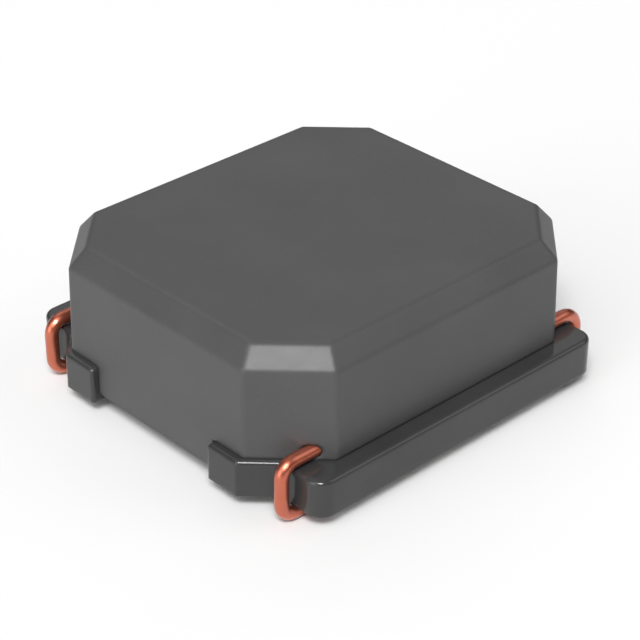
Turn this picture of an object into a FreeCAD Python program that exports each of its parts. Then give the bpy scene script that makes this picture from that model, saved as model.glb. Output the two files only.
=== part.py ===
import FreeCAD, Part
import math
import os

from FreeCAD import Vector

# Shielded surface-mount inductor, lengths in millimetres.
# Origin: middle of the footprint, on the plane of the flat terminal bottoms. X runs along the two
# long bars of the core, Y across them, Z up. The two tabs of each end face -X and +X.

# Wire and how it lies on its neighbours
wire_diameter = 0.130
wire_sides = 14                 # flats round the wire from its cut ends to the coil
turn_sides = 8                  # flats round the wire in the turns that the body hides
wire_lie_gap = 0.002            # between the core's underside and the wire
wire_rise = 0.019               # between the core's top and the wire that leaves the body
turn_gap = 0.005                # between neighbouring turns of one layer, and between the layers
post_gap = 0.015                # between the post and the first layer
lead_top_radius = 0.130         # of the wire's centre line where the lead turns down beside the core
lead_fold_radius = 0.140        # of the centre line where it then turns under the core
tuck_top_radius = 0.180         # the same two at the tucked end
tuck_fold_radius = 0.110
lead_bend_radius = 0.50         # of the centre line where a lead swings towards the coil
lead_angle = 25.0               # degrees between a lead's slanting stretch and the X axis
wire_line_y = 1.563             # distance of the folded wire's plane from the middle
lead_end_gap = 0.052            # between the end face and the wire that passes down it at the lead
tuck_end_gap = 0.029            # the same at the tucked end
tuck_length = 0.28              # length of the wire's cut end that is held inside the body

# Coil
inner_turns = 4                 # turns of the first layer, which climbs
layer_step_angle = 45.0         # degrees over which the wire steps out to the second layer
dive_start_angle = -90.0        # where the second layer's last turn starts down to the core
coil_step = 180.0               # degrees between the points that the turns pass through

# Core: plate with a bar along each long side, a tab at each corner and a round post
core_width = 3.822              # over the two bars
core_end_length = 3.470         # between the flat end faces
core_thickness = 0.366
core_corner_radius = 0.160
core_edge_radius = 0.042
core_lower_edge_cut = 0.012     # leg of the small chamfer along the underside
tab_length = 4.000              # over the outer faces of the tabs
tab_gap = 1.570                 # between the two tabs of one end
tab_face_width = 0.374
tab_corner_radius = 0.025
tab_root = 0.200                # how far a tab's block reaches into the plate
post_diameter = 2.060
post_height = 0.765
post_edge_cut = 0.040           # leg of the chamfer round the post's top

# Moulded body
body_length = 3.812             # at the foot of the top bevel
body_width = 3.413              # at the foot of the top bevel
body_corner = 0.547             # leg of the corner chamfer at the foot of the bevel
body_height = 1.038             # from the core's top to the body's top
bevel_height = 0.188
bevel_inset = 0.153
top_corner = 0.470              # leg of the corner chamfer of the top face
wall_draft = 0.024              # how far the walls lean out between the bevel and their lower edge
skirt_reach = 0.281             # how far the skirt hangs below the core's top
body_edge_radius = 0.070
body_fit = 0.006                # between the body and the core or the wire that it encloses
coil_room = 0.030               # between the coil and the cavity around it

# Terminals under the core
terminal_length = 3.000
terminal_inner_y = 1.000
terminal_outer_y = 1.800
terminal_cover = 0.011          # tin below the wire
terminal_corner_radius = 0.120
terminal_edge_cut = 0.060        # leg of the chamfer round the flat bottom
terminal_fit = 0.004            # between the tin and the wire inside it

# Values that follow from the ones above
wire_radius = wire_diameter / 2
core_bottom_z = terminal_cover + wire_diameter + wire_lie_gap
core_top_z = core_bottom_z + core_thickness
lower_run_z = core_bottom_z - wire_lie_gap - wire_radius
upper_run_z = core_top_z + wire_rise + wire_radius
lead_fold_x = core_end_length / 2 + lead_end_gap + wire_radius
tuck_fold_x = core_end_length / 2 + tuck_end_gap + wire_radius
pitch = wire_diameter + turn_gap
inner_radius = post_diameter / 2 + post_gap + wire_radius
outer_radius = inner_radius + wire_diameter + turn_gap
coil_top_z = upper_run_z + inner_turns * pitch
body_top_z = core_top_z + body_height
bevel_foot_z = body_top_z - bevel_height


def octagon(half_x, half_y, leg, z):
    """The eight corners of a rectangle with 45 degree corners, anticlockwise."""
    corners = []
    for sx, sy, x_first in ((1, 1, True), (-1, 1, False), (-1, -1, True), (1, -1, False)):
        along_x = Vector(sx * half_x, sy * (half_y - leg), z)
        along_y = Vector(sx * (half_x - leg), sy * half_y, z)
        corners += [along_x, along_y] if x_first else [along_y, along_x]
    return corners


def solid_of_rings(rings):
    """A solid with flat faces between rings of equal count, from the lowest to the highest."""
    def face(corners):
        return Part.Face(Part.makePolygon(corners + corners[:1]))

    count = len(rings[0])
    faces = [face(rings[0][::-1]), face(rings[-1])]
    for low, high in zip(rings, rings[1:]):
        for i in range(count):
            j = (i + 1) % count
            faces.append(face([low[i], low[j], high[j], high[i]]))
    return Part.makeSolid(Part.makeShell(faces))


def edges_at(shape, z):
    """Edges that lie in the horizontal plane at height z."""
    return [e for e in shape.Edges if all(abs(v.Z - z) < 1e-6 for v in e.Vertexes)]


def upright_edges(shape):
    """Straight edges that rise from one height to another."""
    return [e for e in shape.Edges if len(e.Vertexes) == 2 and abs(e.Vertexes[0].Z - e.Vertexes[1].Z) > 1e-6]


def block(x0, x1, y0, y1, z0, z1):
    return Part.makeBox(x1 - x0, y1 - y0, z1 - z0, Vector(x0, y0, z0))


def pressed_plate():
    """The core's plate with its two bars, corners and edges rounded."""
    x = core_end_length / 2
    y = core_width / 2
    plate = block(-x, x, -y, y, core_bottom_z, core_top_z)
    plate = plate.makeFillet(core_corner_radius, upright_edges(plate))
    plate = plate.makeFillet(core_edge_radius, edges_at(plate, core_top_z))
    return plate.makeChamfer(core_lower_edge_cut, edges_at(plate, core_bottom_z))


def corner_tab(sx, sy):
    """One tab: a block whose outer corner is cut at 45 degrees back to the end face."""
    root_x = core_end_length / 2 - tab_root
    outer_x = tab_length / 2
    inner_y = tab_gap / 2
    outer_y = inner_y + tab_face_width
    slant = outer_x - root_x
    outline = [(root_x, inner_y), (outer_x, inner_y), (outer_x, outer_y), (root_x, outer_y + slant)]
    points = [Vector(sx * x, sy * y, core_bottom_z) for x, y in outline]
    tab = Part.Face(Part.makePolygon(points + points[:1])).extrude(Vector(0, 0, core_thickness))
    inner_corner = [e for e in upright_edges(tab) if abs(e.Vertexes[0].X * sx - outer_x) < 1e-6]
    tab = tab.makeFillet(tab_corner_radius, inner_corner)
    tab = tab.makeFillet(core_edge_radius, edges_at(tab, core_top_z))
    return tab.makeChamfer(core_lower_edge_cut, edges_at(tab, core_bottom_z))


def core():
    """Plate, tabs and post, pressed as one piece."""
    post = Part.makeCylinder(post_diameter / 2, core_thickness + post_height, Vector(0, 0, core_bottom_z))
    post = post.makeChamfer(post_edge_cut, edges_at(post, core_top_z + post_height))
    tabs = [corner_tab(sx, sy) for sx in (-1, 1) for sy in (-1, 1)]
    return pressed_plate().fuse(tabs + [post]).removeSplitter()


def rounded_path(points, radii):
    """Straight runs through the points, joined by arcs of the given radii that touch both runs."""
    edges = []
    start = points[0]
    for before, corner, after, radius in zip(points, points[1:], points[2:], radii):
        into = (corner - before).normalize()
        out = (after - corner).normalize()
        turn = into.getAngle(out)
        reach = radius * math.tan(turn / 2)
        first = corner - into * reach
        last = corner + out * reach
        middle = corner + (out - into).normalize() * radius * (1 / math.cos(turn / 2) - 1)
        edges.append(Part.LineSegment(start, first).toShape())
        edges.append(Part.Arc(first, middle, last).toShape())
        start = last
    edges.append(Part.LineSegment(start, points[-1]).toShape())
    return edges


def two_arcs(p0, t0, p1, t1):
    """Two arcs that touch each other, leave p0 along t0 and reach p1 along t1."""
    span = p1 - p0
    both = t0 + t1
    a = 2 * (1 - t0.dot(t1))
    b = 2 * span.dot(both)
    reach = (-b + math.sqrt(b * b + 4 * a * span.dot(span))) / (2 * a)
    joint = (p0 + t0 * reach + p1 - t1 * reach) * 0.5
    return [arc_from(p0, t0, joint), arc_from(p1, t1 * -1, joint)]


def arc_from(start, direction, end):
    """The arc that leaves start along direction and ends at end."""
    chord = end - start
    half_turn = direction.getAngle(chord)
    side = (direction - chord * (direction.dot(chord) / chord.dot(chord))).normalize()
    middle = start + chord * 0.5 + side * (chord.Length / 2 * math.tan(half_turn / 2))
    return Part.Arc(start, middle, end).toShape()


def lead_tangent(radius):
    """Where a slanting lead touches a layer of that radius, on the +Y side, at the upper run."""
    slant = math.radians(lead_angle)
    return Vector(radius * math.sin(slant), radius * math.cos(slant), upper_run_z)


def lead_knee(radius):
    """Where the slanting stretch would meet the straight one, on the +Y side."""
    slant = math.radians(lead_angle)
    touch = lead_tangent(radius)
    run = (wire_line_y - touch.y) / math.sin(slant)
    return Vector(touch.x - run * math.cos(slant), wire_line_y, upper_run_z)


def fold_points():
    """The wire's folds on the +Y side, from its tucked end under the core to the lead."""
    body_edge_x = (body_length + body_width) / 2 - body_corner - wire_line_y
    return [
        Vector(body_edge_x - tuck_length, wire_line_y, upper_run_z),
        Vector(tuck_fold_x, wire_line_y, upper_run_z),
        Vector(tuck_fold_x, wire_line_y, lower_run_z),
        Vector(-lead_fold_x, wire_line_y, lower_run_z),
        Vector(-lead_fold_x, wire_line_y, upper_run_z),
    ]


def lead_path(radius):
    """The whole of one wire end on the +Y side: tucked end, folds, lead up to its layer."""
    points = fold_points() + [lead_knee(radius), lead_tangent(radius)]
    radii = [tuck_top_radius, tuck_fold_radius, lead_fold_radius, lead_top_radius, lead_bend_radius]
    return rounded_path(points, radii)


def coil_points():
    """Angle, radius, height and rise for each degree at the points that the turns pass through."""
    start = lead_angle - 90
    top = start + 360 * inner_turns
    climb = pitch / 360
    points = []
    angle = start
    while angle < top - layer_step_angle:
        rise = climb if angle > start else 0
        points.append((angle, inner_radius, upper_run_z + (angle - start) * climb, rise))
        angle += coil_step
    points.append((top - layer_step_angle, inner_radius, coil_top_z - layer_step_angle * climb, climb))
    points.append((top, outer_radius, coil_top_z, 0))
    dive = dive_start_angle + 360 * (2 * inner_turns - 1)
    fall = (coil_top_z - upper_run_z - pitch) / (dive - top)
    angle = top + coil_step
    while angle < dive - coil_step / 2:
        points.append((angle, outer_radius, coil_top_z - (angle - top) * fall, -fall))
        angle += coil_step
    points.append((dive, outer_radius, upper_run_z + pitch, -fall))
    end = 90 - lead_angle + 360 * (2 * inner_turns - 1)
    points.append((end, outer_radius, upper_run_z, 0))
    return points


def coil_path():
    """The turns of both layers as arcs that touch each other."""
    nodes = []
    for angle, radius, z, rise in coil_points():
        a = math.radians(angle)
        place = Vector(radius * math.cos(a), radius * math.sin(a), z)
        heading = Vector(-math.sin(a), math.cos(a), rise * 180 / math.pi / radius).normalize()
        nodes.append((place, heading))
    edges = []
    for (p0, t0), (p1, t1) in zip(nodes, nodes[1:]):
        edges += two_arcs(p0, t0, p1, t1)
    return edges


def mirrored(edges):
    """Edges of the +Y side turned over to the -Y side."""
    return [e.mirror(Vector(0, 0, 0), Vector(0, 1, 0)) for e in edges]


def tube(edges, radius, sides):
    """A tube along edges that follow each other, its section a regular polygon of that many sides."""
    path = Part.Wire(Part.__sortEdges__(edges))
    start = path.OrderedVertexes[0].Point
    first = path.OrderedEdges[0]
    heading = first.tangentAt(first.FirstParameter)
    across = Vector(0, 0, 1).cross(heading).normalize() * radius
    up = heading.cross(across)
    corners = []
    for i in range(sides):
        a = 2 * math.pi * (i + 0.5) / sides
        corners.append(start + across * math.cos(a) + up * math.sin(a))
    return path.makePipeShell([Part.makePolygon(corners + corners[:1])], True, False)


def winding():
    """One wire: both ends with their folds and leads, and the coil between them."""
    turns = tube(coil_path(), wire_radius, turn_sides)
    first_end = tube(mirrored(lead_path(inner_radius)), wire_radius, wire_sides)
    last_end = tube(lead_path(outer_radius), wire_radius, wire_sides)
    return turns.fuse([first_end, last_end]).Solids[0]


def shield_body():
    """The moulded body: bevelled block with a skirt between the tabs and a stepped cavity."""
    skirt_z = core_top_z - skirt_reach
    lean = wall_draft * (2 - math.sqrt(2))
    body = solid_of_rings([
        octagon(body_length / 2 + wall_draft, body_width / 2 + wall_draft, body_corner + lean, skirt_z),
        octagon(body_length / 2, body_width / 2, body_corner, bevel_foot_z),
        octagon(body_length / 2 - bevel_inset, body_width / 2 - bevel_inset, top_corner, body_top_z),
    ])
    shoulders = [e for e in body.Edges if max(v.Z for v in e.Vertexes) > skirt_z + 1e-6]
    body = body.makeFillet(body_edge_radius, shoulders)
    return body.cut(room_for_core()).cut(room_for_coil()).cut(room_for_leads())


def room_for_core():
    """What the core's plate and tabs take of the block: everything low but the two skirts."""
    reach = tab_length
    low = block(-reach, reach, -reach, reach, 0, core_top_z)
    end_x = core_end_length / 2 + body_fit
    side_y = tab_gap / 2 - body_fit
    for x0, x1 in ((-reach, -end_x), (end_x, reach)):
        low = low.cut(block(x0, x1, -side_y, side_y, 0, core_top_z))
    return low


def room_for_coil():
    """Cavity for the coil, and the narrower bore above it for the top of the post."""
    coil_reach = outer_radius + wire_radius + coil_room
    coil_depth = coil_top_z + wire_radius + coil_room - core_top_z
    foot = Vector(0, 0, core_top_z)
    cavity = Part.makeCylinder(coil_reach, coil_depth, foot)
    bore = Part.makeCylinder(post_diameter / 2 + body_fit, post_height + body_fit, foot)
    return cavity.fuse(bore)


def room_for_leads():
    """Channels round the leads and the tucked ends, on both sides."""
    channels = []
    for radius, side in ((inner_radius, -1), (outer_radius, 1)):
        knee = [fold_points()[-1], lead_knee(radius), lead_tangent(radius)]
        lead = rounded_path(knee, [lead_bend_radius])
        tuck = rounded_path([fold_points()[0] - Vector(body_fit, 0, 0), fold_points()[1]], [])
        for edges in (lead, tuck):
            way = mirrored(edges) if side < 0 else edges
            channels.append(tube(way, wire_radius + body_fit, wire_sides))
    return channels


def terminal(side):
    """Tin under the core on one side, flat below, with the wire inside it."""
    x = terminal_length / 2
    near, far = sorted((side * terminal_inner_y, side * terminal_outer_y))
    tin = block(-x, x, near, far, 0, core_bottom_z)
    tin = tin.makeFillet(terminal_corner_radius, upright_edges(tin))
    tin = tin.makeChamfer(terminal_edge_cut, edges_at(tin, 0))
    radius = wire_radius + terminal_fit
    y = side * wire_line_y
    wire_room = Part.makeCylinder(radius, 2 * x, Vector(-x, y, lower_run_z), Vector(1, 0, 0))
    above = block(-x, x, y - radius, y + radius, lower_run_z, core_top_z)
    return tin.cut(wire_room.fuse(above))


def write(name, shape):
    shape.exportStep(os.path.join("parts", name + ".step"))


os.makedirs("parts", exist_ok=True)
write("core", core())
write("shield_body", shield_body())
write("winding", winding())
write("terminal_start", terminal(-1))
write("terminal_finish", terminal(1))
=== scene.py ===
import bpy
import math
from mathutils import Matrix, Vector

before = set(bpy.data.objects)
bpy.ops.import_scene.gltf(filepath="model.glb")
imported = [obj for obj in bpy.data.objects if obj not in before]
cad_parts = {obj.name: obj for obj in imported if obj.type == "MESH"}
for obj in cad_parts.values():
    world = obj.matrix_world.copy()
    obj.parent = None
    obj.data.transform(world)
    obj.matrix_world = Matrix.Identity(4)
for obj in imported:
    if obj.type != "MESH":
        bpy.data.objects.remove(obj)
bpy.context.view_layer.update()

# Lengths are in metres, in the frame of the solids. MM turns millimetres into metres.
MM = 0.001

# The photograph's view. Angles are in degrees, and azimuth runs from +X towards +Y.
camera_target = Vector((-0.3665, -0.4515, 0.9011)) * MM
camera_distance = 18.892 * MM
camera_azimuth = 226.65
camera_elevation = 31.34
camera_roll = 0.13
camera_clip = (0.5 * MM, 2000 * MM)

# Blender takes these two in millimetres.
lens_length = 119.42
sensor_width = 36

# The studio's soft panels of light, each with its azimuth, elevation and half width in degrees, and
# its brightness in the middle
sky_panels = {
    "lamp, left half": (214, 50, 9, 36.0),
    "lamp, right half": (232, 50, 9, 36.0),
    "key": (223, 45, 22, 1.8),
    "left, high": (195, 52, 28, 2.1),
    "left, low": (180, 8, 30, 2.9),
    "left, behind": (165, 30, 28, 0.9),
    "right": (317, 40, 28, 1.4),
    "back": (83, 52, 28, 0.8),
    "back, wide": (43, 38, 34, 0.65),
    "overhead": (120, 80, 35, 0.20),
}

floor_size = 400 * MM

# Rays that find the rounded normal at each point
rounding_samples = 12

# The cosine between the rounded and the true normal, right on an edge, where its lightening is full, and
# clear of one
edge_cosine = 0.9
clear_cosine = 0.995

BLACK = (0, 0, 0)
WHITE = (1, 1, 1)


def towards(azimuth, elevation):
    """Unit vector from the part in that direction, both in degrees."""
    a = math.radians(azimuth)
    e = math.radians(elevation)
    return Vector((math.cos(e) * math.cos(a), math.cos(e) * math.sin(a), math.sin(e)))


class Tree:
    """The node tree of a material or a world, with short calls for its nodes."""

    def __init__(self, owner):
        owner.use_nodes = True
        self.nodes = owner.node_tree.nodes
        self.links = owner.node_tree.links

    def feed(self, socket, value):
        """Links value to that input if it is a socket itself, and else sets it there."""
        if isinstance(value, bpy.types.NodeSocket):
            self.links.new(value, socket)
        else:
            socket.default_value = value

    def add(self, kind, output, inputs=None, **settings):
        """That output of a new node, with its settings made and its inputs fed."""
        node = self.nodes.new("ShaderNode" + kind)
        for key, value in settings.items():
            setattr(node, key, value)
        for key, value in (inputs or {}).items():
            self.feed(node.inputs[key], value)
        return node.outputs[output]

    def dot(self, first, second):
        """The dot product of two vectors."""
        return self.add("VectorMath", "Value", {0: first, 1: second}, operation="DOT_PRODUCT")

    def span(self, source, low, high, from_low=0.0, from_high=1.0, interpolation="LINEAR"):
        """low where source is up to from_low, high from from_high on, and a blend between."""
        inputs = {
            "Value": source,
            "From Min": from_low,
            "From Max": from_high,
            "To Min": low,
            "To Max": high,
        }
        return self.add("MapRange", "Result", inputs, interpolation_type=interpolation)


class Surface(Tree):
    """A new material's tree, with what the materials here share."""

    def __init__(self, name):
        self.material = bpy.data.materials.new(name)
        super().__init__(self.material)
        self.shader = self.nodes["Principled BSDF"]
        self.place = self.add("TexCoord", "Object")

    def noise(self, size, detail, roughness=0.5):
        """Noise whose features are about size metres across."""
        inputs = {"Vector": self.place, "Scale": 1 / size, "Detail": detail, "Roughness": roughness}
        return self.add("TexNoise", "Fac", inputs)

    def tone(self, source, dark, light, low=0.3, high=0.7):
        """The dark colour where source is up to low, the light one from high on, and a blend between."""
        colour = self.add("ValToRGB", "Color", {"Fac": source})
        first, last = colour.node.color_ramp.elements
        first.position = low
        first.color = (*dark, 1)
        last.position = high
        last.color = (*light, 1)
        return colour

    def mix(self, share, base, colour):
        """The plain colour over the base, by share."""
        # By number, because the Mix node's sockets for colours and for numbers have the same names
        share_input, base_input, colour_input, colour_output = 0, 6, 7, 2
        inputs = {share_input: share, base_input: base, colour_input: (*colour, 1)}
        return self.add("Mix", colour_output, inputs, data_type="RGBA")

    def rounded(self, radius):
        """The surface's normal, with edges and flats rounded to that radius."""
        return self.add("Bevel", "Normal", {"Radius": radius}, samples=rounding_samples)

    def edges(self, reach):
        """1 along sharp edges and 0 beyond reach metres from them."""
        cosine = self.dot(self.rounded(reach), self.add("NewGeometry", "Normal"))
        return self.span(cosine, low=1, high=0, from_low=edge_cosine, from_high=clear_cosine)

    def bumps(self, layers, normal=None):
        """Bumps from (source, depth in metres) layers, over that normal if one is given."""
        for source, depth in layers:
            inputs = {"Height": source, "Distance": depth}
            if normal is not None:
                inputs["Normal"] = normal
            normal = self.add("Bump", "Normal", inputs)
        self.set(Normal=normal)

    def set(self, **values):
        """Plain values and sockets on the shader's inputs, with _ for a space."""
        for key, value in values.items():
            self.feed(self.shader.inputs[key.replace("_", " ")], value)


def body_material():
    """Moulded magnetic powder in resin: near black, satin, with a fine even grain."""
    s = Surface("body_composite")
    patches = s.noise(size=0.9 * MM, detail=3)
    waves = s.noise(size=0.2 * MM, detail=3)
    grain = s.noise(size=0.03 * MM, detail=2, roughness=0.6)
    base = s.tone(patches, dark=(0.054, 0.054, 0.0545), light=(0.062, 0.062, 0.0625))
    specks = s.tone(grain, BLACK, WHITE, low=0.60, high=0.78)
    specked = s.mix(specks, base, colour=(0.070, 0.070, 0.071))
    # Rubbed wear, lighter along the edges
    lighter_edges = s.mix(s.edges(reach=0.012 * MM), specked, colour=(0.080, 0.080, 0.081))
    satin = s.span(s.noise(size=0.14 * MM, detail=4), low=0.40, high=0.46)
    s.set(Base_Color=lighter_edges, Roughness=satin, Specular_IOR_Level=0.38)
    s.bumps([(grain, 0.0007 * MM), (waves, 0.0012 * MM)], s.rounded(radius=0.05 * MM))
    return s.material


def core_material():
    """Pressed, fired magnetic powder: near black, denser and glossier than the body."""
    s = Surface("core_powder")
    patches = s.noise(size=0.6 * MM, detail=3)
    waves = s.noise(size=0.15 * MM, detail=2)
    grain = s.noise(size=0.03 * MM, detail=3, roughness=0.6)
    base = s.tone(patches, dark=(0.031, 0.0312, 0.0314), light=(0.038, 0.0382, 0.0384))
    # Lighter along the edges: partly rubbed wear, partly a painted highlight on the rounded edges
    lighter_edges = s.mix(s.edges(reach=0.010 * MM), base, colour=(0.044, 0.044, 0.044))
    gloss = s.span(s.noise(size=0.12 * MM, detail=3), low=0.10, high=0.15)
    s.set(Base_Color=lighter_edges, Roughness=gloss, Specular_IOR_Level=0.40)
    s.bumps([(grain, 0.00015 * MM), (waves, 0.0006 * MM)], s.rounded(radius=0.04 * MM))
    return s.material


def copper_material():
    """Copper under clear enamel."""
    s = Surface("enamelled_copper")
    patches = s.noise(size=0.25 * MM, detail=2)
    ripples = s.noise(size=0.06 * MM, detail=2)
    copper = s.tone(patches, dark=(0.53, 0.140, 0.082), light=(0.61, 0.170, 0.100))
    satin = s.span(s.noise(size=0.05 * MM, detail=2), low=0.28, high=0.36)
    s.set(Base_Color=copper, Metallic=0.9, Roughness=satin, Coat_Weight=0.4, Coat_Roughness=0.06)
    s.bumps([(ripples, 0.0004 * MM)], s.rounded(radius=0.05 * MM))
    return s.material


def tin_material():
    """Dipped tin, softly shining, with shallow ripples."""
    s = Surface("tin")
    patches = s.noise(size=0.3 * MM, detail=4)
    ripples = s.noise(size=0.35 * MM, detail=2)
    grain = s.noise(size=0.03 * MM, detail=3)
    tin = s.tone(patches, dark=(0.60, 0.60, 0.59), light=(0.74, 0.74, 0.72))
    shine = s.span(s.noise(size=0.08 * MM, detail=4), low=0.22, high=0.42)
    s.set(Base_Color=tin, Metallic=1.0, Roughness=shine)
    s.bumps([(ripples, 0.006 * MM), (grain, 0.001 * MM)])
    return s.material


def floor_material():
    """A pale, matt table."""
    s = Surface("floor")
    patches = s.noise(size=20 * MM, detail=2)
    pale = s.tone(patches, dark=(0.74, 0.74, 0.74), light=(0.76, 0.76, 0.76), low=0.0, high=1.0)
    s.set(Base_Color=pale, Roughness=0.9, Specular_IOR_Level=0.1)
    return s.material


def paint(material, *names):
    """Gives those nodes of the frame that material."""
    for name in names:
        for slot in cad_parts[name].material_slots:
            slot.material = material


def add_object(name, data):
    """A new object in the scene, at the origin."""
    obj = bpy.data.objects.new(name, data)
    bpy.context.scene.collection.objects.link(obj)
    return obj


def add_camera():
    """The camera, at the photograph's view."""
    data = bpy.data.cameras.new("camera")
    data.lens = lens_length
    data.sensor_width = sensor_width
    data.clip_start, data.clip_end = camera_clip
    camera = add_object("camera", data)
    place = camera_target + towards(camera_azimuth, camera_elevation) * camera_distance
    turn = (camera_target - place).to_track_quat("-Z", "Y").to_matrix().to_4x4()
    roll = Matrix.Rotation(math.radians(camera_roll), 4, "Z")
    camera.matrix_world = Matrix.Translation(place) @ turn @ roll
    bpy.context.scene.camera = camera


def add_floor():
    """The table that the part stands on."""
    mesh = bpy.data.meshes.new("floor")
    half = floor_size / 2
    corners = [(-half, -half, 0), (half, -half, 0), (half, half, 0), (-half, half, 0)]
    mesh.from_pydata(corners, [], [(0, 1, 2, 3)])
    mesh.materials.append(floor_material())
    add_object("floor", mesh)


def add_sky():
    """A dark studio with soft round panels of light, each fading from its middle to its rim."""
    world = bpy.data.worlds.new("studio")
    bpy.context.scene.world = world
    tree = Tree(world)
    direction = tree.add("TexCoord", "Generated")
    light = 0.0
    for azimuth, elevation, half_width, brightness in sky_panels.values():
        nearness = tree.dot(direction, towards(azimuth, elevation))
        rim = math.cos(math.radians(half_width))
        panel = tree.span(
            nearness, low=0, high=brightness, from_low=rim, from_high=1, interpolation="SMOOTHSTEP"
        )
        light = tree.add("Math", "Value", {0: light, 1: panel}, operation="ADD")
    tree.feed(tree.nodes["Background"].inputs["Color"], light)


paint(body_material(), "shield_body")
paint(core_material(), "core")
paint(copper_material(), "winding")
paint(tin_material(), "terminal_start", "terminal_finish")

add_floor()
add_sky()
add_camera()
bpy.context.scene.view_settings.view_transform = "Standard"
